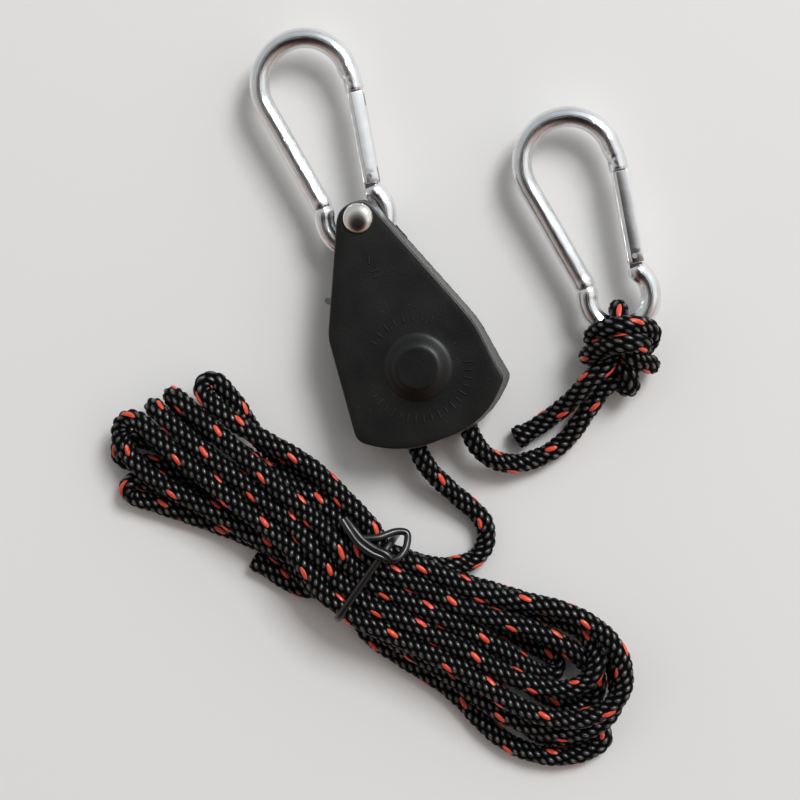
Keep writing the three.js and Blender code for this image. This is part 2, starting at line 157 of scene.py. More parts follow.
def tube_faces(rings, sides):
    """The faces of a closed tube: its quads, then a cap on each end."""
    last_ring = [(rings - 1) * sides + k for k in reversed(range(sides))]
    return grid_faces(rings, sides).tolist() + [list(range(sides)), last_ring]


def directions_out(points, angle):
    """Directions out of a path, at each of its points and for each angle round it."""
    normal, binormal = frames_along(points)
    return (np.cos(angle)[None, :, None] * normal[:, None]
            + np.sin(angle)[None, :, None] * binormal[:, None])


def swept(name, points, section):
    """A bar along points, with a section of (across, up) points."""
    normal, binormal = frames_along(points)
    ring = (points[:, None] + section[:, :1] * binormal[:, None]
            + section[:, 1:] * normal[:, None])
    obj = mesh_object(name, ring.reshape(-1, 3), tube_faces(len(points), len(section)))
    fix_normals(obj)
    return obj


def fix_normals(obj):
    """Turns every face outwards."""
    bm = bmesh.new()
    bm.from_mesh(obj.data)
    bmesh.ops.recalc_face_normals(bm, faces=bm.faces)
    bm.to_mesh(obj.data)
    bm.free()


def angles_round(sides):
    """Evenly spaced angles, one for each side of a ring."""
    return np.arange(sides) * TURN / sides


def circle(radius, sides):
    """A ring of (across, up) points."""
    angle = angles_round(sides)
    return np.stack([radius * np.cos(angle), radius * np.sin(angle)], 1)


def set_attribute(obj, name, values, vector=False):
    """A number or a vector on every vertex, for a material to read."""
    layer = obj.data.attributes.new(name, "FLOAT_VECTOR" if vector else "FLOAT", "POINT")
    layer.data.foreach_set("vector" if vector else "value", np.asarray(values, np.float32).ravel())


# ---- camera

CAMERA_TARGET = Vector((-8.601, -6.040, 0)) * MM
CAMERA_DIRECTION = Vector((0.1085, 0.023, 1)).normalized()
CAMERA_DISTANCE = 0.5

camera_data = bpy.data.cameras.new("camera")
camera_data.lens = 90
camera_data.sensor_width = 36
camera_data.clip_start = 0.01
camera = add_object("camera", camera_data)
right = Vector(PICTURE_UP).cross(CAMERA_DIRECTION).normalized()
above = CAMERA_DIRECTION.cross(right)
turn = Matrix((right, above, CAMERA_DIRECTION)).transposed().to_4x4()
camera.matrix_world = Matrix.Translation(
    CAMERA_TARGET + CAMERA_DIRECTION * CAMERA_DISTANCE) @ turn
bpy.context.scene.camera = camera


# ---- rope

BRAID_ROW = 1.77                 # between rows of bumps, along the rope
BRAID_SHIFT = -0.65              # each row is this much further round than the last
BRAID_SIDES = 6                  # bumps in a row
ROUND = TURN * ROPE              # distance round the rope
BRAID_PITCH = ROUND / BRAID_SIDES
BUMP = (1.2, 0.66)               # half length and half width of a bump
BUMP_LEAN = 45                   # degrees between a bump and the rope
BUMP_POWER = 0.6                 # how flat a bump's top is
FLECK = (1.78, 0.74)             # half length and half width of a coloured fleck
FLECK_LEAN = 20
FLECK_REACH = 2.4                # along the rope from a fleck's middle, past its ends
FLECK_EVERY = 3                  # rows, and as many bumps further round
VALLEY = 2.06                    # radius between the bumps


def tilted(along, across, degrees):
    """Turns distances into the axes of a bump that leans by degrees."""
    c, s = math.cos(math.radians(degrees)), math.sin(math.radians(degrees))
    return along * c + across * s, across * c - along * s


def braid_relief(s, t):
    """How high the bumps stand, 0 to 1, at distance s along and t round the rope."""
    row = np.floor(s / BRAID_ROW)
    best = np.full(np.broadcast(s, t).shape, -1.0)
    for dj in (-1, 0, 1, 2):
        j = row + dj
        ds = s - BRAID_ROW * j
        nearest = np.round((t - BRAID_SHIFT * j) / BRAID_PITCH)
        for di in (-1, 0, 1):
            dt = t - BRAID_SHIFT * j - BRAID_PITCH * (nearest + di)
            a, b = tilted(ds, dt, BUMP_LEAN)
            best = np.maximum(best, 1 - (a / BUMP[0]) ** 2 - (b / BUMP[1]) ** 2)
    return np.clip(best, 0, 1) ** BUMP_POWER


def fleck_field(s, t, start=0):
    """How far inside a coloured fleck each place is: over 0 is inside."""
    field = np.full((len(s), len(t)), -3.0)
    rows = int(s[-1] / (BRAID_ROW * FLECK_EVERY)) * FLECK_EVERY
    for j in range(FLECK_EVERY, rows, FLECK_EVERY):
        centre_s = BRAID_ROW * j
        centre_t = BRAID_SHIFT * j + BRAID_PITCH * (j + start)
        lo, hi = np.searchsorted(s, (centre_s - FLECK_REACH, centre_s + FLECK_REACH))
        ds = s[lo:hi, None] - centre_s
        dt = (t[None, :] - centre_t + ROUND / 2) % ROUND - ROUND / 2
        a, b = tilted(ds, dt, FLECK_LEAN)
        field[lo:hi] = np.maximum(
            field[lo:hi], 1 - (a / FLECK[0]) ** 2 - (b / FLECK[1]) ** 2)
    return field


def braided(name, points, step=0.36, sides=44, taper=(), start=0):
    """A braided rope along points. taper lists (distance from the end, scale) at its end."""
    fleck_stands = 1.03          # a fleck's height, in bumps
    fine = respaced(points, step)
    s = arc_lengths(fine)
    angle = angles_round(sides)
    t = angle * ROPE
    relief = braid_relief(s[:, None], t[None, :])
    field = fleck_field(s, t, start)
    relief = np.maximum(relief, np.sqrt(np.clip(field, 0, 1)) * fleck_stands)
    radius = VALLEY + (ROPE - VALLEY) * relief
    if taper:
        from_end = s[-1] - s
        scale = np.interp(from_end, [d for d, _ in taper], [v for _, v in taper])
        radius = radius * scale[:, None]
    ring = fine[:, None] + radius[..., None] * directions_out(fine, angle)
    obj = mesh_object(name, ring.reshape(-1, 3), tube_faces(len(fine), sides))
    set_attribute(obj, "fleck", field)
    wrap_uv(obj, grid_faces(len(fine), sides), s, sides)
    return obj, s[-1]


def wrap_uv(obj, quads, s, sides):
    """UVs for a rope: the distance round it and along it, in millimetres."""
    ring_index, side_index = quads // sides, quads % sides
    side = side_index.astype(float)
    # The last quad of a ring ends at a whole turn and not back at nothing.
    side[side_index[:, 0] == sides - 1, 1:3] = sides
    wrapped = np.stack([side / sides * ROUND, s[ring_index]], -1)
    flat = np.zeros((len(obj.data.loops), 2), np.float32)
    flat[:quads.size] = wrapped.reshape(-1, 2)
    obj.data.uv_layers.new(name="rope").data.foreach_set("uv", flat.ravel())


def relaxed(points, held, apart, rounds=260, pull=0.02, ring=None):
    """Pushes a rope's passes towards a distance apart, near the route as drawn.

    Passes that are pressed together stay a little nearer than that, as soft rope does. held
    marks points that stay. ring is (centre, radius, distance) of a wire ring to clear.
    """
    neighbours = 5               # points nearer than this on the rope don't push each other
    pairs_every = 8              # rounds between two searches for passes that are close
    settling = 60                # last rounds, with a weaker pull to the route as drawn
    folds = ((2, 3.4), (3, 4.2), (4, 4.5))     # points apart, and the least distance
    table = ROPE + 0.02
    tiny = 1e-3
    p = points.copy()
    rest = lengths(np.diff(points, axis=0))
    free = (~held).astype(float)[:, None]
    for step in range(rounds):
        if step % pairs_every == 0:
            distance = np.linalg.norm(p[:, None] - p[None], axis=2)
            i, j = np.where(distance < apart + 3)
            keep = j - i >= neighbours
            pairs = i[keep], j[keep]
        p += free * (pull if step < rounds - settling else pull * 0.3) * (points - p)
        p += pushed_apart(p, *pairs, apart, free * 1.3, tiny)
        for span, least in folds:
            offset = p[span:] - p[:-span]
            length = lengths(offset)
            push = offset * (0.2 * np.clip(least - length, 0, 1) / length)[:, None]
            p[span:] += free[span:] * push
            p[:-span] -= free[:-span] * push
        for odd in (0, 1):
            offset = p[1:][odd::2] - p[:-1][odd::2]
            length = lengths(offset)
            fix = offset * (0.35 * (length - rest[odd::2]) / length)[:, None]
            p[1:][odd::2] -= free[1:][odd::2] * fix
            p[:-1][odd::2] += free[:-1][odd::2] * fix
        p[1:-1] += free[1:-1] * 0.06 * (0.5 * (p[2:] + p[:-2]) - p[1:-1])
        if ring:
            centre, radius, clear = ring
            flat = p - centre
            flat[:, 2] = 0
            flat *= (radius / np.maximum(lengths(flat), tiny))[:, None]
            offset = p - (centre + flat)
            length = lengths(offset)
            p += (offset * (np.clip(clear - length, 0, 1) / np.maximum(length, tiny))[:, None])
        p[:, 2] = np.maximum(p[:, 2], table)
    return p


def pushed_apart(p, i, j, apart, share, tiny):
    """How far each point moves away from the points of other passes that are too close."""
    offset = p[j] - p[i]
    length = lengths(offset)
    short = length < apart
    i, j, offset, length = i[short], j[short], offset[short], length[short]
    push = offset * (0.5 * (apart - length) / np.maximum(length, tiny))[:, None]
    total = np.zeros_like(p)
    hits = np.zeros(len(p))
    for index, way in ((i, -1), (j, 1)):
        np.add.at(total, index, way * push)
        np.add.at(hits, index, 1)
    return share * total / np.maximum(hits, 1)[:, None]


# Load side: out of the housing's right mouth, along the table and up to the knot.
LOAD_SIDE = [
    (5.5, -18.1, 8.7), (5.4, -21, 8.5), (5.9, -24.2, 7.8), (7.6, -27.6, 6.5),
    (10.6, -30.2, 5), (14.6, -31.6, 3.7), (19.6, -31.9, 2.9), (24.4, -31, 2.7),
    (29, -28.9, 3.1), (33.3, -25.9, 4.2), (36.9, -22.9, 5.2),
]
# The tail, from the knot to its bare end.
TAIL = [
    (36.9, -18.6, 10.2), (33.6, -20.5, 8.4), (29.4, -22.2, 6.2), (24.6, -23.7, 4.2),
    (19.4, -24.9, 3), (14.8, -25.5, 2.8),
]
KNOT_CENTRE = np.array([46.3, -15.5, 8.0])
# The knot, in distances right, up and towards the front of its middle: a double strand that
# turns once round itself, with the bight through the end hook's eye.
KNOT = [
    (-3.4, -6.6, -1.6), (-0.5, -3.5, -2.2), (3.2, -0.2, -1.6), (5.9, 3.2, 0.6),
    (6.6, 6.0, 4.2), (3.6, 7.6, 7.6), (-0.9, 7.5, 8.2), (-4.8, 6.8, 6.2),
    (-6.7, 4.6, 2.0), (-5.4, 0.6, -2.6), (-2.0, -3.8, -4.8), (1.2, -6.9, -3.4),
    (2.2, -7.4, 0.6), (2.2, -4.4, 3.0), (1.9, -0.6, 0.6), (0.8, 3.2, -2.6),
    (-0.2, 6.4, -4.7), (-0.6, 9.9, -3.6), (-0.6, 11.6, 0), (-0.6, 9.9, 3.5),
    (-0.5, 6.4, 4.3), (0.2, 3.0, 2.9), (2.0, 0.2, 4.0), (4.9, -0.6, 3.9),
    (7.0, -1.2, 0.9), (6.4, -1.2, -3.0), (2.8, -1.0, -5.3), (-2.0, -0.4, -5.3),
    (-6.0, 0.4, -2.8), (-7.0, 1.8, 1.6), (-5.0, 2.8, 5.6), (-0.9, 3.0, 7.4),
    (3.6, 3.0, 7.2), (6.6, 2.6, 4.4), (5.2, 2.0, 0.8), (1.0, 1.0, 0.6),
    (-3.4, -1.6, 2.4), (-6.4, -4.4, 3.2),
]
knot = [tuple(KNOT_CENTRE + u * PICTURE_RIGHT + v * PICTURE_UP + np.array([0, 0, w]))
        for u, v, w in KNOT]

END_EYE = np.array([51.35, -2.2, 7.9])
route = catmull(LOAD_SIDE + knot + TAIL, 2.0)
# The rope from the mouth and its bare end stay where they are drawn.
held = np.zeros(len(route), bool)
held[:17] = True
held[-9:] = True
load_points = relaxed(route, held, 4.2, pull=0.03, ring=(END_EYE, 7.7, 4.8))
load_path = b_spline(load_points, 0.3)
load_rope, load_length = braided(
    "load_rope", load_path, step=0.3, sides=52,
    taper=((0, 0.9), (0.4, 1.22), (1.6, 1.2), (3.5, 1.04), (6, 1)))

# Free side and hank, which the tie holds by its waist.
WAIST_CENTRE = np.array([-31.8, -43.5])
ACROSS = np.array([0.835, 0.55])         # the hank's width, on the table
ALONG = np.array([-0.55, 0.835])         # the hank's length, towards its folds


def waist(across, z, along):
    """A place in the tie: across the hank, up, and along it."""
    x, y = WAIST_CENTRE + across * ACROSS + along * ALONG
    return x, y, z


def through(across, z, downwards):
    """Three places in the tie, from the folds down to the loops or back up."""
    places = [waist(across, z, along) for along in (3.5, 0, -3.5)]
    return places if downwards else places[::-1]


HANK_ROUTE = [
    # free side, from the housing's left mouth
    (-8, -17.4, 8.7), (-8.1, -20.5, 8.4), (-7.5, -24.5, 7.3), (-6, -28.6, 5.8),
    (-4.2, -32.6, 4.3), (-2.2, -36.6, 3.2), (-0.4, -40.6, 2.7), (0, -44.1, 2.6),
    (-1.7, -47.5, 2.6), (-4.9, -49.7, 3), (-9.4, -50.2, 4), (-13.6, -49.5, 5),
    (-17.5, -46.4, 6.5), (-21.3, -43, 7.6),
    *through(7.8, 8, False),
    # up to the first fold, and back on top of itself
    (-28.2, -31.2, 8.6), (-30.8, -26, 8), (-33.2, -21, 7.2), (-38.2, -15, 7),
    (-42.6, -7.8, 7), (-45.2, 0.6, 7.5), (-45.6, 6.8, 8.2), (-47, 12.6, 9.2),
    (-49, 16.8, 10), (-51.6, 16.8, 10.6), (-52.2, 13.6, 11), (-49.7, 8.2, 11.6),
    (-45.2, 1.3, 11.6), (-39.6, -5.6, 11.5), (-35, -11, 11.4), (-31.2, -18.1, 11.4),
    (-28.8, -26.1, 12), (-27.2, -32.2, 12.3),
    *through(8.8, 12.3, True),
    # the big outer loop
    (-20.5, -44.5, 11.7), (-16.1, -49.1, 11.5), (-9.8, -54.5, 11.4), (-3.8, -59.2, 11.4),
    (3.8, -63.4, 11.4), (9.9, -67.6, 11.4), (15.6, -73.2, 11.4), (18.9, -79.3, 11.4),
    (19.6, -85.3, 11.4), (18, -90.8, 11.4), (13.6, -94.7, 11.4), (8.1, -95.2, 11.4),
    (1.9, -94.4, 11.4), (-3.5, -91.3, 11.4), (-8.2, -86.9, 11.4), (-12.4, -81.3, 11.4),
    (-16.5, -74.4, 11.4), (-20.8, -67.4, 11.4), (-25.8, -61.3, 11.5), (-31, -54.5, 12),
    *through(-8.8, 12.3, False),
    (-45.1, -29.8, 11.4), (-52.5, -18.2, 11.4), (-60.2, -4.2, 11.5), (-64.2, 2.7, 11.5),
    (-68.1, 9.8, 11), (-69.7, 14, 9.8), (-72.2, 15.6, 9), (-75.8, 13.9, 7.5),
    (-77.1, 9.5, 6.5), (-75.2, 3.1, 7), (-70.7, -4.1, 7), (-64.1, -11.2, 7),
    (-55.2, -22.8, 7), (-46, -34.5, 7.3),
    *through(-4.7, 8.1, True),
    # under the outer loop, to the inner loop's end
    (-24, -55, 7.3), (-15, -59, 7.2), (-6, -62.5, 7), (3, -66.5, 7), (11, -72.2, 7.4),
    (14.4, -77.4, 8), (13.7, -83.2, 8.5), (9.4, -87.5, 9), (3.8, -87.6, 9.5),
    (-0.8, -84.7, 10), (-6.7, -79.6, 10.8), (-11.9, -74.1, 11.2), (-16.1, -68.2, 11.3),
    (-20.8, -62.7, 11.4), (-28, -53.7, 11.6),
    *through(-4.4, 12.3, False),
    (-40.7, -28.9, 11.5), (-47, -17.9, 11.5), (-52.4, -8.3, 11.6), (-58.5, 2, 11.6),
    (-62.2, 9.6, 11.4), (-65, 14.6, 9.4), (-66.3, 16.2, 6.4), (-65.6, 13.5, 3.4),
    (-62.5, 6.5, 3.6), (-57, -3, 6), (-50, -14, 6.6), (-43, -25, 6.9), (-36, -35, 7.6),
    *through(3.6, 8.1, True),
    (-23, -52, 6.2), (-18, -61.5, 2.8), (-13.5, -68.5, 2.6), (-9.5, -75.5, 2.6),
    (-5, -83.5, 2.6), (-0.8, -89.8, 2.6), (4.6, -93.2, 2.8), (9.8, -92.6, 3.8), (12.2, -88, 5.2),
    (10.8, -82.4, 7), (9.2, -78.8, 8.4), (5.9, -74.4, 9.6), (1.3, -69.5, 10.5), (-3.6, -65.4, 11),
    (-8.8, -61.8, 11.2), (-14.5, -56.3, 11.5), (-19.7, -50.9, 11.6),
    *through(4.4, 12.3, False),
    (-29.8, -32.7, 12.2), (-34.4, -23.6, 10.6), (-39.6, -16.4, 9.6), (-45.2, -8.8, 8.8),
    (-50.9, -1.4, 7.6), (-55.2, 4.8, 6.4), (-58.8, 9.8, 5), (-60.6, 14.2, 4.8),
    (-61, 17, 6.8), (-59.4, 16.2, 9.4), (-56.3, 10.8, 11.3), (-52.8, 4, 11.6),
    (-49, -3.3, 11.6), (-42.7, -14, 11.6), (-36.5, -25.2, 11.6),
    *through(0, 12.3, True),
    (-25.7, -51.2, 11.8), (-22, -55.8, 11.5), (-16.6, -61.4, 11), (-11.1, -66.7, 10),
    (-6.6, -72.6, 9), (-4.5, -77.3, 7.8), (-1.5, -81.8, 6), (2, -83.4, 4.5),
    (4.4, -81.6, 3.2), (2.6, -78.2, 2.7), (-1.6, -73.6, 2.6), (-5.6, -67.6, 2.6),
    (-11.4, -60, 2.8), (-18.6, -53, 4.5),
    *through(-0.5, 8.1, False),
    (-36, -37, 7), (-40, -27, 4.6), (-46.5, -17.5, 2.8), (-53, -9.5, 2.6), (-60, -3, 2.6),
    (-67, 3.6, 2.6), (-72.3, 9.2, 2.6), (-76.4, 10.9, 2.8), (-79.8, 8.6, 3), (-79.2, 5.2, 2.7),
    (-74.8, 2.8, 2.6), (-68.8, -0.8, 2.6), (-61.5, -7, 2.6), (-55, -12.5, 2.6), (-47.5, -19.5, 2.6),
    (-41, -28, 3), (-34, -37, 4),
    *through(5, 4.4, True),
    (-19.5, -47.5, 3.8), (-13, -52.5, 3), (-6, -57.7, 2.7), (1, -63, 2.6),
    (7, -68.8, 2.6), (12, -74.3, 3), (15.8, -80.4, 4), (16.8, -86.4, 5.4), (16, -92, 6.8),
    (12.6, -96.4, 7.4), (7.4, -99.1, 7.5), (-0.4, -97.4, 7.5), (-8.1, -92.9, 7.5),
    (-13.3, -87.7, 7.5), (-17, -81.8, 7.5), (-20.9, -74.9, 7.5), (-25.2, -69, 7.5),
    (-31.3, -60.7, 7.5), (-36.3, -53.3, 8),
    *through(-8.9, 7.9, False),
    (-46.2, -39.1, 5), (-52, -29.8, 2.8), (-56.9, -20.3, 2.6), (-62.5, -15.4, 2.6),
    (-67.9, -11.6, 2.6), (-75.6, -6.7, 2.6), (-80.2, -3, 2.8), (-81, 0.4, 4.2),
    (-77.4, 0, 3.4), (-71, -5, 2.6), (-64, -10.5, 2.6), (-57, -17, 2.6),
    (-50.5, -22.5, 2.6), (-44, -31, 3), (-38.5, -38.5, 4),
    *through(0.6, 4.4, True),
    (-26.5, -58.5, 2.9), (-21, -67.5, 2.6), (-16.5, -75, 2.6), (-12.5, -82, 2.6),
    (-10.6, -91.8, 2.6), (-6.4, -97.4, 2.6), (0.2, -100.3, 2.6), (6.2, -99.6, 2.6),
    (8.9, -101.6, 2.6), (5.6, -104.2, 2.6), (-1, -104.4, 2.6), (-8, -102.2, 2.6),
    (-15, -96.3, 2.6), (-19.5, -88.7, 2.6),
    (-21.3, -82.3, 2.6), (-24.5, -76.2, 2.6), (-30, -69, 2.6), (-34.1, -63.2, 2.8),
    (-38.7, -55.1, 4),
    *through(-7.6, 4.2, False),
    (-44.7, -42.3, 3), (-48.9, -35.9, 2.7), (-52.8, -31.9, 2.6), (-56.4, -28.2, 2.6),
]
route = catmull(HANK_ROUTE, 2.0)
# What lies in the tie stays as drawn, and so does the rope from the mouth.
from_waist = route[:, :2] - WAIST_CENTRE
held = (np.abs(from_waist @ ALONG) < 2.2) & (np.abs(from_waist @ ACROSS) < 12)
held[:14] = True
hank_points = relaxed(route, held, 4.75, rounds=300)
hank_path = b_spline(hank_points, 0.36)
hank_rope, hank_length = braided(
    "hank_rope", hank_path, taper=((0, 0.84), (0.5, 1.04), (2, 1.08), (4, 1)), start=1)

# Over the sheave, inside the housing.
WRAP = 7.05
wrap_route = [(-8, -17.4, Z_MID), (-7.6, -11, Z_MID), (-WRAP, -4, Z_MID)]
wrap_route += [(-WRAP * math.cos(a), WRAP * math.sin(a), Z_MID)
               for a in np.linspace(0, math.pi, 11)]
wrap_route += [(WRAP, -4, Z_MID), (6.4, -11, Z_MID), (5.5, -18.1, Z_MID)]
wrap_rope, _ = braided("wrap_rope", catmull(wrap_route, 0.5), step=0.45, sides=36)


# ---- materials

def fill(made, inputs):
    """Sets a node's inputs. Each value is another node's socket or a constant."""
    for key, value in inputs.items():
        if isinstance(value, bpy.types.NodeSocket):
            made.id_data.links.new(value, made.inputs[key])
        else:
            made.inputs[key].default_value = value


def node_maker(tree):
    """A function that adds nodes to this tree."""
    def node(kind, inputs=None, **settings):
        """A new node, with its inputs and its settings."""
        made = tree.nodes.new(kind)
        for key, value in settings.items():
            setattr(made, key, value)
        fill(made, inputs or {})
        return made

    return node


def material(name):
    """A new material: (material, its nodes' maker, its shader)."""
    mat = bpy.data.materials.new(name)
    mat.use_nodes = True
    return mat, node_maker(mat.node_tree), mat.node_tree.nodes["Principled BSDF"]


def ramp(node, fac, stops):
    """A colour ramp with (position, colour or grey) stops."""
    made = node("ShaderNodeValToRGB", {"Fac": fac})
    elements = made.color_ramp.elements
    while len(elements) < len(stops):
        elements.new(0.5)
    for element, (position, colour) in zip(elements, stops):
        element.position = position
        element.color = (*(colour if isinstance(colour, tuple) else (colour,) * 3), 1)
    return made.outputs["Color"]


def bump(node, height, strength, distance, normal=None):
    """A normal that a height leans, over another normal if there is one."""
    inputs = {"Height": height, "Strength": strength, "Distance": distance * MM}
    if normal is not None:
        inputs["Normal"] = normal
    return node("ShaderNodeBump", inputs).outputs["Normal"]


def mixed(node, factor, first, second):
    """A mix of two colours. A Mix node's colours are its inputs 6 and 7 and its output 2."""
    made = node("ShaderNodeMix", {0: factor, 6: first, 7: second}, data_type="RGBA")
    return made.outputs[2]


def noise(node, place, scale, detail):
    """Smooth noise, 0 to 1."""
    inputs = {"Vector": place, "Scale": scale, "Detail": detail}
    return node("ShaderNodeTexNoise", inputs).outputs["Fac"]


def stretched(node, value, low, high, to_low=0.0, to_high=1.0):
    """A value with the range low to high stretched to another."""
    return node("ShaderNodeMapRange", {
        "Value": value, "From Min": low, "From Max": high,
        "To Min": to_low, "To Max": to_high}).outputs["Result"]


def vector_sum(node, operation, first, second=(0, 0, 0)):
    """What a Vector Math node gives."""
    made = node("ShaderNodeVectorMath", {0: first, 1: second}, operation=operation)
    return made.outputs["Value" if operation in ("DOT_PRODUCT", "LENGTH") else "Vector"]


def rope_material():
    """Black filament bumps with painted shade in their valleys and painted sheen on their tops, and
    the flecks' red yarn.
    """
    mat, node, shader = material("braided_rope")
    uv = node("ShaderNodeUVMap", uv_map="rope").outputs["UV"]

    def maths(operation, first, second=0.0):
        """What a Math node gives."""
        return node("ShaderNodeMath", {0: first, 1: second}, operation=operation).outputs[0]

    def steps(along_s, round_t):
        """A place's distances along and round the rope, as steps of the lattice."""
        return vector_sum(node, "DOT_PRODUCT", uv, (round_t, along_s, 0))

    def from_whole(value):
        """The signed distance to the nearest whole number."""
        return maths("SUBTRACT", maths("FRACT", maths("ADD", value, 0.5)), 0.5)

    # The bumps' lattice: each place's offset from its bump's middle, in the lattice's steps of
    # a row plus one bump and of a whole row, which are nearly square to each other.
    step_i = steps(-BRAID_SHIFT / (BRAID_ROW * BRAID_PITCH), 1 / BRAID_PITCH)
    off_i = from_whole(step_i)
    off_j = from_whole(maths("SUBTRACT", steps(1 / BRAID_ROW, 0), step_i))
    lattice = ((BRAID_ROW, BRAID_SHIFT + BRAID_PITCH), (BRAID_ROW, BRAID_SHIFT))
    long_way, short_way = zip(*(tilted(*step, BUMP_LEAN) for step in lattice))

    def squared(way, size):
        """The offset one way across a bump, in its half sizes, squared."""
        total = maths("ADD", maths("MULTIPLY", off_i, way[0]), maths("MULTIPLY", off_j, way[1]))
        return maths("POWER", maths("DIVIDE", maths("ABSOLUTE", total), size), 2.0)

    outside = maths("ADD", squared(long_way, BUMP[0]), squared(short_way, BUMP[1]))
    dome = maths("POWER", maths("MAXIMUM", maths("SUBTRACT", 1.0, outside), 0.0), BUMP_POWER)
    combed = node("ShaderNodeMapping", {
        "Vector": uv, "Rotation": (0, 0, math.radians(BUMP_LEAN)), "Scale": (7.0, 1.0, 1.0)})
    fibres = noise(node, combed.outputs["Vector"], 1.3, 3.0)
    broad = noise(node, uv, 0.8, 3.0)
    fleck = node("ShaderNodeAttribute", attribute_name="fleck").outputs["Fac"]
    mask = stretched(node, maths("ADD", fleck, maths("MULTIPLY", fibres, 0.7)), 0.26, 0.42)
    height = maths("MAXIMUM", dome, mask)
    # Painted shade and sheen: the dark yarn's colour sets the strength of its reflection, and it is
    # painted nearly to nothing in the valleys, where the filaments shade each other, and brighter
    # on the bumps' tops.
    uneven = maths("ADD", maths("MULTIPLY", fibres, 1.3), maths("MULTIPLY", broad, 0.9))
    streaks_painted_sheen = maths("MULTIPLY", height, maths("SUBTRACT", uneven, 0.16))
    black_painted_shade_and_sheen = ramp(node, streaks_painted_sheen, [
        (0.0, 0.0008), (0.3, 0.0045), (0.5, 0.018), (0.75, 0.06), (1.0, 0.19)])
    red = ramp(node, broad, [(0.3, (0.6, 0.045, 0.02)), (0.7, (0.78, 0.1, 0.045))])
    fill(shader, {
        "Base Color": mixed(node, mask, black_painted_shade_and_sheen, red),
        "Metallic": maths("MULTIPLY", maths("SUBTRACT", 1.0, mask), 0.8),
        "Roughness": stretched(node, height, 0.0, 1.0, 0.95, 0.33),
        "Normal": bump(node, fibres, 0.6, 0.06, bump(node, height, 0.8, 0.25)),
        "Specular IOR Level": 0.5})
    return mat


def metal_material(name, colour, rough, scratch=0.4, lines=0.0):
    """Plated metal. lines is how deep the drawing lines along a wire are."""
    mat, node, shader = material(name)
    place = node("ShaderNodeTexCoord").outputs["Object"]
    broad = noise(node, place, 180.0, 4.0)
    normal = bump(node, broad, scratch, 0.12)
    if lines:
        drawn = node("ShaderNodeAttribute", attribute_name="drawn").outputs["Vector"]
        normal = bump(node, noise(node, drawn, 11.0, 3.0), lines, 0.11, normal)
    fine = noise(node, place, 1400.0, 3.0)
    fill(shader, {
        "Base Color": ramp(node, broad, [(0.3, tuple(c * 0.88 for c in colour)), (0.7, colour)]),
        "Metallic": 1.0,
        "Roughness": stretched(node, broad, 0.3, 0.7, rough * 0.7, rough * 1.5),
        "Normal": bump(node, fine, scratch * 0.5, 0.01, normal)})
    return mat


def plastic_material(name, colour, rough, grain, specular, worn=False):
    """Moulded plastic with a grain and a few pale specks. worn scuffs what "wear" marks."""
    mat, node, shader = material(name)
    place = node("ShaderNodeTexCoord").outputs["Object"]
    broad = noise(node, place, 90.0, 5.0)
    fine = noise(node, place, 2600.0, 3.0)
    tint = ramp(node, broad, [
        (0.3, tuple(c * 0.75 for c in colour)), (0.75, tuple(c * 1.5 for c in colour))])
    if worn:
        wear = node("ShaderNodeAttribute", attribute_name="wear").outputs["Fac"]
        scuffs = noise(node, place, 1700.0, 5.0)
        pale = ramp(node, scuffs, [(0.35, (0.03, 0.03, 0.028)), (0.65, (0.09, 0.09, 0.085))])
        tint = mixed(node, wear, tint, pale)
        fine = mixed(node, wear, fine, scuffs)
    cells = node("ShaderNodeTexVoronoi", {"Vector": place, "Scale": 420.0}).outputs["Distance"]
    speck = ramp(node, cells, [(0.0, 1.0), (0.035, 0.0)])
    fill(shader, {
        "Base Color": mixed(node, speck, tint, (0.3, 0.3, 0.29, 1)),
        "Roughness": stretched(node, broad, 0.3, 0.7, rough * 0.88, rough * 1.12),
        "Normal": bump(node, fine, grain, 0.04),
        "Specular IOR Level": specular})
    return mat


ROPE_MAT = rope_material()
ZINC = metal_material("bright_zinc", (0.86, 0.87, 0.88), 0.08, 0.28, 0.6)
STEEL = metal_material("plain_steel", (0.55, 0.56, 0.58), 0.34)
NICKEL = metal_material("nickel", (0.86, 0.83, 0.78), 0.04, 0.1)
CAST = metal_material("cast_zinc", (0.5, 0.51, 0.53), 0.42)
BLACK_PLASTIC = plastic_material("moulded_plastic", (0.0032, 0.0032, 0.0028), 0.42, 0.8, 0.42, True)
# Painted highlight: the raised marks are a lighter plastic than the cover, for the light that their
# edges catch.
MARK_PLASTIC_PAINTED_HIGHLIGHT = plastic_material("raised_marks_painted_highlight", (0.012, 0.012, 0.011), 0.34, 0.3, 0.5)
TIE_PLASTIC = plastic_material("tie_plastic", (0.006, 0.006, 0.006), 0.27, 0.1, 0.6)


def paint(obj, mat):
    """Gives an object one material."""
    obj.data.materials.clear()
    obj.data.materials.append(mat)


for rope in (load_rope, hank_rope, wrap_rope):
    paint(rope, ROPE_MAT)
    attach(rope, "housing")
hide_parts("rope_load_side", "rope_tail", "rope_knot")
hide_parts("rope_free_side", "rope_hank")
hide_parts("rope_wrap")

# The CAD's own pieces that no piece of this script stands for.
STEEL_NODES = [
    "rivet_sleeve", "sheave_axle", "sheave_washer_front", "sheave_washer_rear",
    "pawl", "pawl_pin", "pawl_spring",
]
for hook in ("top_hook", "end_hook"):
    STEEL_NODES += [f"{hook}_gate_{part}" for part in ("pin", "spring", "plunger")]
for name in STEEL_NODES:
    paint(NODES[name], STEEL)
paint(NODES["ratchet_sheave"], CAST)


# ---- snap hooks

# In each hook's own frame: its eye's middle at the origin, and its bow up +Y.
GATE_PIN = (6.95, 7.8)
GATE_LEAN = math.radians(-10.5)
GATE_TOP = 20.8                  # above the pin, along the gate
GATE_FOOT = -1.8
WIRE = 2.45                      # wire's radius
BOW_CENTRE = (0, 34.7)
BOW = 11.15                      # radius of the bow, to the wire's middle
EYE = 7.7                        # radius of the eye, to the wire's middle
KINK = np.array([-6.75, 4.7, 0])     # where the spine meets the eye


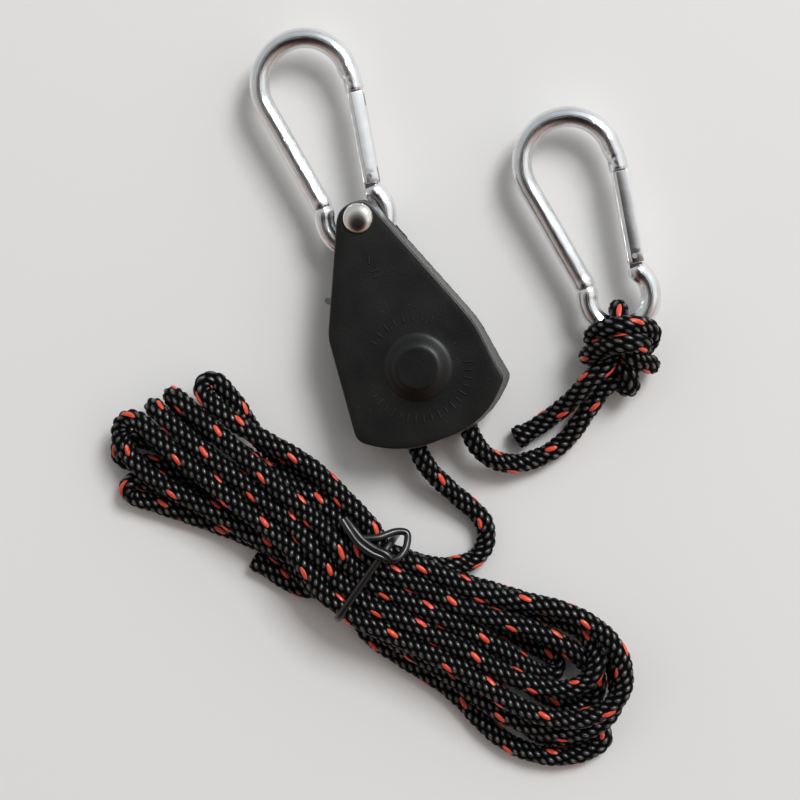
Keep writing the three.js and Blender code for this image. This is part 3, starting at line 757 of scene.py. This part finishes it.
def on_gate(x, y, z=0.0):
    """A point given across and along the gate from its pin, in the hook's frame."""
    c, s = math.cos(GATE_LEAN), math.sin(GATE_LEAN)
    return (GATE_PIN[0] + c * x - s * y, GATE_PIN[1] + s * x + c * y, z)


def level_arc(centre, radius, start, end, count):
    """Points on an arc between two angles in degrees, in the hook's own plane."""
    angles = np.radians(np.linspace(start, end, count))
    return [(centre[0] + radius * math.cos(a), centre[1] + radius * math.sin(a), 0)
            for a in angles]


def put(points, eye, z, turn):
    """Points of a hook, from its own frame to the object's."""
    points = np.asarray(points, float)
    c, s = math.cos(math.radians(turn)), math.sin(math.radians(turn))
    moved = points @ np.array([[c, s, 0], [-s, c, 0], [0, 0, 1]])
    return moved + np.array([eye[0], eye[1], z])


def near(s, centre, width):
    """1 at the centre, and less further from it."""
    return np.exp(-((s - centre) / width) ** 2)


def hook_wire(name, place, dents):
    """The bent wire: nose, bow, spine and eye, with its crimps and creases."""
    nose = on_gate(0, GATE_TOP + 0.3)
    collar = on_gate(0, -2.5)
    points = ([nose, (nose[0] + 0.22, nose[1] + 1.9, 0), (nose[0] + 0.4, nose[1] + 3.8, 0)]
              + level_arc(BOW_CENTRE, BOW, -4, 188, 17)
              + [(-9.9, 26, 0), (-8.7, 18, 0), (-7.5, 10, 0), (-6.9, 6.2, 0), tuple(KINK),
                 (-6.95, 3.4, 0)]
              + level_arc((0, 0), EYE, 162, 390, 20) + [collar])
    path = catmull(points, 0.3)
    s = arc_lengths(path)
    end = s[-1]
    kink = s[np.argmin(lengths(path - KINK))]
    sides = 40
    angle = angles_round(sides)
    # The kink is pinched, with a swelling on each side, and both ends are rounded.
    radius = (WIRE - 0.3 * near(s, kink, 0.3) + 0.14 * near(s, kink + 1.6, 1.2)
              + 0.1 * near(s, kink - 1.3, 0.9) + 0.16 * near(s, end - 1.6, 1.3)
              - 0.35 * near(s, end, 0.35) - 0.3 * near(s, 0, 0.25))
    radius = np.repeat(radius[:, None], sides, 1)
    out = directions_out(path, angle)
    # Creases and a flat are pressed into the nose's inner side, as it shows from the front.
    inner = np.array([-1, 0, 0.35]) / np.linalg.norm([-1, 0, 0.35])
    facing = np.clip(out @ inner, 0, 1)
    for along, slope, depth in dents:
        line = s[:, None] - along - slope * (facing - 0.6)
        radius -= depth * near(line, 0, 0.3) * np.clip(facing * 1.8 - 0.5, 0, 1)
    radius -= np.clip(facing - 0.72, 0, 1) * 1.5 * ((s > 0.2) & (s < 4.2))[:, None]
    ring = path[:, None] + radius[..., None] * out
    obj = mesh_object(name, put(ring.reshape(-1, 3), *place), tube_faces(len(path), sides))
    fix_normals(obj)
    set_attribute(obj, "drawn", np.stack(np.broadcast_arrays(
        np.cos(angle), np.sin(angle), 0.02 * s[:, None]), -1), vector=True)
    add_tongue(obj, (GATE_TOP - 3, GATE_TOP + 1.5), 1.5, place)
    add_tongue(obj, (GATE_FOOT - 2.4, -0.3), 1.6, place)
    return obj


# A box's faces, by the numbers of its corners: four below and then four above them.
BOX_FACES = ((3, 2, 1, 0), (4, 5, 6, 7), (0, 1, 5, 4), (1, 2, 6, 5), (2, 3, 7, 6), (3, 0, 4, 7))


def box_corners(low, high):
    """The corners of a box in the gate's own axes, from its lowest and highest corner."""
    return [on_gate(x, y, z) for z in (low[2], high[2])
            for x, y in ((low[0], low[1]), (high[0], low[1]), (high[0], high[1]),
                         (low[0], high[1]))]


def add_tongue(obj, span, half_width, place):
    """A flat tongue of the wire that sits in the gate's slot."""
    half = 0.9                   # of its thickness
    corners = box_corners((-half_width, span[0], -half), (half_width, span[1], half))
    bm = bmesh.new()
    bm.from_mesh(obj.data)
    verts = [bm.verts.new(Vector(p) * MM) for p in put(corners, *place)]
    for face in BOX_FACES:
        bm.faces.new([verts[k] for k in face])
    bm.to_mesh(obj.data)
    bm.free()


# The folded gate's section, as (across, depth): flat front, flat outer side, and an inner
# side that rounds over.
GATE_SECTION = [
    (2.1, -2.1), (2.1, 2.1), (2.02, 2.33), (1.8, 2.42), (-0.8, 2.45), (-0.95, 2.34),
    (-1.05, 2.28), (-1.35, 2.18), (-1.7, 1.9), (-1.97, 1.45), (-2.1, 0.9), (-2.1, -0.9),
    (-1.97, -1.45), (-1.7, -1.9), (-1.35, -2.18), (-1.05, -2.28), (-0.95, -2.34),
    (-0.8, -2.45), (1.8, -2.42), (2.02, -2.33),
]


def box_mesh(name, low, high, place):
    """A box in the gate's own axes, for cutting with."""
    return mesh_object(name, put(box_corners(low, high), *place), BOX_FACES, smooth=False)


def cut_away(obj, cutters):
    """Cuts each cutter out of obj, and removes the cutters."""
    for cutter in cutters:
        modifier = obj.modifiers.new("cut", "BOOLEAN")
        modifier.operation = "DIFFERENCE"
        modifier.solver = "EXACT"
        modifier.object = cutter
    depsgraph = bpy.context.evaluated_depsgraph_get()
    result = bpy.data.meshes.new_from_object(obj.evaluated_get(depsgraph))
    obj.modifiers.clear()
    obj.data = result
    for cutter in cutters:
        bpy.data.objects.remove(cutter)


def hook_gate(name, place, slope):
    """The folded gate. slope is how much its front face falls away to the outer side."""
    section = np.array(GATE_SECTION)
    falls = (section[:, 1] > 1.5) & (section[:, 0] > -0.85)
    section[falls, 1] -= slope * (section[falls, 0] + 0.8)
    stations = [GATE_FOOT, GATE_FOOT + 0.15, GATE_FOOT + 0.5, 0.6, 6, 14, GATE_TOP - 0.5,
                GATE_TOP - 0.12, GATE_TOP]
    scale = [0.8, 0.92, 1, 1, 1, 1, 1, 0.99, 0.94]
    verts = []
    for y, k in zip(stations, scale):
        verts += [on_gate(x * k, y, z * k) for x, z in section]
    faces = tube_faces(len(stations), len(section))
    obj = mesh_object(name, put(verts, *place), faces, smooth=False)
    fix_normals(obj)
    cut_away(obj, [
        box_mesh("slot_top", (-4, GATE_TOP - 3.6, -1.2), (4, GATE_TOP + 2, 1.2), place),
        box_mesh("slot_foot", (-4, -6, -1.2), (4, 2.1, 1.2), place),
        wedge_mesh("notch", place),
    ])
    round_edges(obj, 0.16)
    return obj


def wedge_mesh(name, place):
    """The V that is cut in the gate's front face beside its pin."""
    outline = [(-0.6, 2.7), (2.3, 2.7), (2.3, 2.3), (0.8, 0.9), (-0.6, 2.1)]
    verts = [on_gate(x, y, z) for z in (1.75, 3) for x, y in outline]
    n = len(outline)
    faces = [tuple(reversed(range(n))), tuple(range(n, 2 * n))]
    faces += [(k, (k + 1) % n, n + (k + 1) % n, n + k) for k in range(n)]
    return mesh_object(name, put(verts, *place), faces, smooth=False)


def round_edges(obj, width):
    """Rounds the sharp edges and shades what is left smooth."""
    modifier = obj.modifiers.new("round", "BEVEL")
    modifier.width = width * MM
    modifier.segments = 2
    modifier.limit_method = "ANGLE"
    modifier.angle_limit = math.radians(35)
    modifier.harden_normals = True
    obj.data.shade_smooth()


# For each hook: its eye's middle, height and turn in degrees, then its creases as (distance
# from the nose, slope, depth), and how much its gate's front falls away.
HOOKS = {
    "top_hook": (((-1, 39.9), Z_MID, -1), ((2.2, 1.9, 0.3), (3.6, -1.7, 0.16)), 0.17),
    "end_hook": (((51.35, -2.2), 7.9, -0.75), ((1.6, 2.2, 0.34), (3.0, -2.0, 0.3)), 0.0),
}
for hook, (place, dents, slope) in HOOKS.items():
    wire = hook_wire(hook + "_wire", place, dents)
    paint(wire, ZINC)
    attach(wire, hook)
    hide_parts(hook + "_body")
    gate = hook_gate(hook + "_folded_gate", place, slope)
    paint(gate, ZINC)
    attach(gate, hook.replace("hook", "gate"))
    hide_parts(hook + "_gate")


# ---- housing

# The housing's corners: x, y and how far each is cut back.
HOUSING = [
    (3.9, 42.8, 3.6), (-3.9, 43.2, 3.6), (-17.9, 15, 2), (-20.9, -11.4, 2.6),
    (-11.5, -18.3, 8), (11, -18.9, 10), (20.2, -10.4, 2), (17.4, 5.4, 2.5),
]
RIVET = (0, 38.8)
PLATE_INSIDE = 13.4
WALL = 1.9                       # thickness of a cover's flank
EDGE = 0.55                      # rounding between a cover's face and flank
TIP_SLOT_TOP = 11.6              # of the gap at the tip, where the hook's eye turns
MOUTHS = (5.5, -8)
MOUTH = 3.3                      # radius
PARTING = 8.8                    # where the front cover ends


def housing_outline(spacing=0.32):
    """The housing's outline and its outward normals, evenly spaced."""
    points = []
    for i, (x, y, cut) in enumerate(HOUSING):
        corner = np.array([x, y])
        ends = []
        for other in (HOUSING[i - 1], HOUSING[(i + 1) % len(HOUSING)]):
            towards = np.array(other[:2]) - corner
            ends.append(corner + towards / np.linalg.norm(towards) * cut)
        for t in np.linspace(0, 1, 14):
            points.append((1 - t) ** 2 * ends[0] + 2 * t * (1 - t) * corner + t * t * ends[1])
    points.append(points[0])
    flat = np.column_stack([np.array(points), np.zeros(len(points))])
    outline = respaced(flat, spacing)[:-1, :2]
    tangent = np.roll(outline, -1, 0) - np.roll(outline, 1, 0)
    tangent /= lengths(tangent)[:, None]
    return outline, np.column_stack([tangent[:, 1], -tangent[:, 0]])


def lower_edge(outline):
    """How far down the front cover's flank comes at each place on the outline."""
    x, y = outline[:, 0], outline[:, 1]
    low = np.full(len(outline), PARTING)
    low[lengths(outline - RIVET) < 12] = TIP_SLOT_TOP
    for mouth in MOUTHS:
        room = MOUTH ** 2 - (x - mouth) ** 2
        arch = Z_MID + np.sqrt(np.clip(room, 0, None))
        low = np.where((room > 0) & (y < -12), np.maximum(low, arch), low)
    opening = (x < -9) & (y > 20.6) & (y < 27.4)
    low[opening] = np.maximum(low[opening], Z_MID + 2)
    return low


# The boss round the axle: (radius, z).
BOSS_PROFILE = [
    (0.0, 17.4), (1.5, 17.4), (3.0, 17.4), (4.4, 17.4), (4.9, 17.39), (5.3, 17.32),
    (5.65, 17.17), (6.05, 16.88), (6.5, 16.47), (6.95, 16.05), (7.35, 15.7), (7.75, 15.42),
    (8.15, 15.26), (8.6, 15.2),
]


def cover_mesh(name, front):
    """One cover as a closed shell: boss, face, rounded edge, flank, rim and inside."""
    outline, normal = housing_outline()
    count = len(outline)
    direction = outline / lengths(outline)[:, None]
    low = lower_edge(outline)
    # The right lower corner is the most worn, and the right flank leans the most.
    corner = np.exp(-((outline - [20, -8]) ** 2).sum(axis=1) / 90)
    base = outline + normal * (0.3 * np.clip(normal[:, :1], 0, 1) - 0.6 * corner[:, None])
    draft = 0.25 + 0.5 * np.clip(normal[:, 0], 0, 1) + 0.5 * corner
    outline = base - normal * draft[:, None]
    rings = []

    def add_ring(points, z):
        rings.append(np.column_stack([points, np.broadcast_to(z, count)]))

    for r, z in BOSS_PROFILE[1:]:
        add_ring(direction * r, z)
    boss_foot = BOSS_PROFILE[-1][0]
    face_edge = outline - normal * EDGE
    for k in (0.3, 0.6, 0.85):
        add_ring(direction * boss_foot * (1 - k) + face_edge * k, Z_FRONT)
    for phi in np.radians([0, 20, 40, 60, 78, 90]):
        inset = EDGE * (1 - math.sin(phi))
        add_ring(outline - normal * inset, Z_FRONT - EDGE * (1 - math.cos(phi)))
    wobble = 0.05 * np.sin(np.arange(count) * 0.61) + 0.04 * np.sin(np.arange(count) * 1.73)
    for share, out in ((0.4, 0.0), (0.75, 0.02), (0.88, 0.06), (0.94, 0.16), (1.0, 0.12)):
        z = (Z_FRONT - EDGE) * (1 - share) + low * share
        moved = draft * share + out * (1 + 4 * wobble)
        add_ring(outline + normal * moved[:, None], z)
    wall = base - normal * WALL
    add_ring(base - normal * 0.3, low)
    add_ring(wall, low)
    for k in (1.0, 0.8, 0.5, 0.2):
        tip = lengths(wall * k - RIVET) < 13.5
        add_ring(wall * k, np.where(tip, TIP_SLOT_TOP, PLATE_INSIDE))
    verts = np.vstack(rings + [[[0, 0, BOSS_PROFILE[0][1]]], [[0, 0, PLATE_INSIDE]]])
    faces = grid_faces(len(rings), count).tolist()
    top, bottom = len(verts) - 2, len(verts) - 1
    start = (len(rings) - 1) * count
    faces += [(top, k, (k + 1) % count) for k in range(count)]
    faces += [(bottom, start + (k + 1) % count, start + k) for k in range(count)]
    if not front:
        verts = verts * [1, 1, -1] + [0, 0, 2 * Z_MID]
    obj = mesh_object(name, verts, faces)
    fix_normals(obj)
    obj.data.set_sharp_from_angle(angle=math.radians(50))
    # The flank starts after the boss, the face and the first half of the rounded edge.
    wear = np.zeros(len(verts))
    flank = (len(BOSS_PROFILE) - 1 + 3 + 3) * count
    wear[flank:flank + 8 * count] = 1
    set_attribute(obj, "wear", wear)
    return obj


def tick_marks(name):
    """Plain raised tick marks on the front cover, round its boss and near the rivet."""
    marks = []
    for degrees in range(-168, -12, 9):
        marks.append((12.4, degrees, 2.2 if degrees % 2 else 1.5))
    for degrees in range(52, 130, 11):
        marks.append((12.2, degrees, 1.7))
    verts, faces = [], []

    def add(centre, along, half_length, half_width=0.19, height=0.26):
        """A low bar with sloping sides."""
        side = np.array([-along[1], along[0]])
        base = len(verts)
        for z, k in ((-0.05, 1.0), (height * 0.7, 1.0), (height, 0.6)):
            length = half_length - (1 - k) * 0.16
            for a, b in ((-1, -1), (1, -1), (1, 1), (-1, 1)):
                p = centre + along * (a * length) + side * b * half_width * k
                verts.append((p[0], p[1], Z_FRONT + z))
        for ring in (0, 4):
            for k in range(4):
                k2 = (k + 1) % 4
                faces.append((base + ring + k, base + ring + k2,
                              base + ring + 4 + k2, base + ring + 4 + k))
        faces.append((base + 3, base + 2, base + 1, base))
        faces.append((base + 8, base + 9, base + 10, base + 11))

    for radius, degrees, length in marks:
        out = np.array([math.cos(math.radians(degrees)), math.sin(math.radians(degrees))])
        add(out * radius, out, length / 2)
    add(np.array([-1.2, 28.6]), np.array([0.35, 0.94]), 1.1)
    add(np.array([-1.0, 25.6]), np.array([1.0, 0.0]), 0.9)
    add(np.array([-1.0, 24.2]), np.array([1.0, 0.0]), 0.9)
    return mesh_object(name, verts, faces, smooth=False)


for name, front, cover in (
        ("front_shell", True, "front_cover"), ("rear_shell", False, "rear_cover")):
    shell = cover_mesh(name, front)
    paint(shell, BLACK_PLASTIC)
    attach(shell, "housing")
    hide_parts(cover)
ticks = tick_marks("tick_marks")
paint(ticks, MARK_PLASTIC_PAINTED_HIGHLIGHT)
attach(ticks, "housing")


# ---- rivet and tie

def turned(name, profile, x, y, sides=64):
    """A solid of revolution about an upright axis, from (radius, z) of each ring."""
    angle = angles_round(sides)
    verts = [(x, y, profile[0][1])]
    for radius, z in profile[1:-1]:
        verts += [(x + radius * math.cos(a), y + radius * math.sin(a), z) for a in angle]
    verts.append((x, y, profile[-1][1]))
    faces = (grid_faces(len(profile) - 2, sides) + 1).tolist()
    last = len(verts) - 1
    faces += [(0, 1 + (k + 1) % sides, 1 + k) for k in range(sides)]
    start = last - sides
    faces += [(last, start + k, start + (k + 1) % sides) for k in range(sides)]
    obj = mesh_object(name, verts, faces)
    fix_normals(obj)
    obj.data.set_sharp_from_angle(angle=math.radians(50))
    return obj


# The rivet's head: (radius, height over the cover).
dome = [(0.0, 1.6), (0.8, 1.58), (1.6, 1.49), (2.25, 1.36), (2.8, 1.17), (3.2, 0.93),
        (3.5, 0.62), (3.68, 0.32), (3.75, 0.14), (3.7, 0.06), (2.0, 0.06)]
rivet = turned("domed_rivet", [(r, Z_FRONT + h) for r, h in dome]
               + [(r, 2 * Z_MID - Z_FRONT - h) for r, h in reversed(dome)], *RIVET)
paint(rivet, NICKEL)
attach(rivet, "housing")
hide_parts("hook_rivet")

TIE_HALF = 12.3                  # half the loop's width
# The loop round the hank's waist, as (across, up).
TIE_LOOP = [
    (9.2, 15.6), (TIE_HALF - 1, 14), (TIE_HALF, 11), (TIE_HALF, 3.4), (TIE_HALF - 1.5, 1.4),
    (0, 1.3), (-TIE_HALF + 1.5, 1.4), (-TIE_HALF, 3.4), (-TIE_HALF, 11),
    (-TIE_HALF + 1.6, 14.4), (0, 15.7), (6.6, 15.9), (8.6, 16.1),
]
TIE_TWIST = [
    (-23.9, -41, 16.3), (-24.5, -39.6, 16.5), (-26.7, -37.2, 16.7), (-28.7, -34, 16.7),
    (-29.8, -30.4, 16.4), (-30.6, -27.4, 15.8),
]
TIE_CURL = [
    (-25.2, -40.2, 16.4), (-22.3, -41.3, 16.2), (-20.2, -40.6, 15.4), (-18.4, -38.6, 14.2),
    (-17.8, -36.5, 13.6), (-20, -35.2, 14), (-24.4, -34.8, 15.6), (-28, -33.6, 16.2),
]


def joined(name, objs):
    """One object from several meshes."""
    bm = bmesh.new()
    for obj in objs:
        bm.from_mesh(obj.data)
    mesh = bpy.data.meshes.new(name)
    bm.to_mesh(mesh)
    bm.free()
    for obj in objs:
        bpy.data.objects.remove(obj)
    return add_object(name, mesh)


def wire_tie(name):
    """The tie: a flat loop, its two ends twisted together, and one end's curl."""
    twist = 60                   # length of the twisted part's whole turn
    flat = circle(1, 20) * [0.9, 0.75]
    loop = swept("loop", catmull([waist(a, z, 0) for a, z in TIE_LOOP], 0.5), flat)
    parts = [loop]
    core = catmull(TIE_TWIST, 0.25)
    normal, binormal = frames_along(core)
    turn = arc_lengths(core)[:, None] * TURN / twist + 1.1
    for phase in (0, math.pi):
        offset = 0.7 * (np.cos(turn + phase) * normal + np.sin(turn + phase) * binormal)
        parts.append(swept("strand", core + offset, circle(0.92, 18)))
    parts.append(swept("curl", catmull(TIE_CURL, 0.4), circle(0.9, 18)))
    return joined(name, parts)


tie = wire_tie("wire_tie")
paint(tie, TIE_PLASTIC)
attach(tie, "housing")
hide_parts("hank_tie")


# ---- floor and light

half = 6000.0
corners = [(-half, -half, 0), (half, -half, 0), (half, half, 0), (-half, half, 0)]
floor = mesh_object("floor", corners, [(0, 1, 2, 3)], smooth=False)
floor.location.z = -0.05 * MM
mat, node, shader = material("table")
fill(shader, {"Base Color": (0.8, 0.79, 0.775, 1), "Roughness": 0.5})
paint(floor, mat)


def towards_picture(right, up, out):
    """A place or direction, by the picture's right, its up and out of the table."""
    return Vector(PICTURE_RIGHT * right + PICTURE_UP * up) + Vector((0, 0, out))


# The window: a soft panel that faces the object. Lengths are in metres here.
window_data = bpy.data.lights.new("window", "AREA")
window_data.shape = "RECTANGLE"
window_data.size = 1.05
window_data.size_y = 1.2
window_data.energy = 73.0
window_data.color = (0.98, 0.99, 1.0)
lamp = add_object("window", window_data)
lamp.location = towards_picture(1.45, 1.75, 2.4)
lamp.rotation_euler = (-lamp.location).to_track_quat("-Z", "Y").to_euler()

# The room: a bright window wall round the lamp, pale walls elsewhere, warmer at the picture's
# lower side, and whoever takes the picture as a dark patch between there and overhead.
world = bpy.data.worlds.new("room")
world.use_nodes = True
node = node_maker(world.node_tree)
direction = node("ShaderNodeTexCoord").outputs["Generated"]


def facing(vector):
    """How much a direction in the room is along vector."""
    return vector_sum(node, "DOT_PRODUCT", direction, vector)


across = node("ShaderNodeCombineXYZ", {
    "X": facing(PICTURE_RIGHT / 0.7), "Y": facing(PICTURE_UP / 0.85)}).outputs["Vector"]
from_person = vector_sum(node, "LENGTH", vector_sum(node, "ADD", across, (0.12, 0.46, 0)))
person = ramp(node, from_person, [
    (0.0, (0.03, 0.02, 0.02)), (0.42, (0.05, 0.052, 0.06)), (0.62, (0.2, 0.19, 0.19)),
    (0.8, 0.5), (1.0, 0.85)])
window = ramp(node, facing(towards_picture(0.62, 0.42, 0.62).normalized()), [
    (0.0, 0.5), (0.55, 0.52), (0.74, 0.6), (0.84, 1.0)])
tint = ramp(node, stretched(node, facing(PICTURE_UP), -0.8, 0.5), [
    (0.0, (0.95, 0.62, 0.5)), (0.5, (0.96, 0.92, 0.89)), (1.0, (0.95, 1.0, 1.03))])
light = vector_sum(node, "MULTIPLY", vector_sum(node, "MULTIPLY", person, window), tint)
fill(world.node_tree.nodes["Background"], {"Color": light, "Strength": 1.2})
bpy.context.scene.world = world
bpy.context.scene.view_settings.view_transform = "Standard"
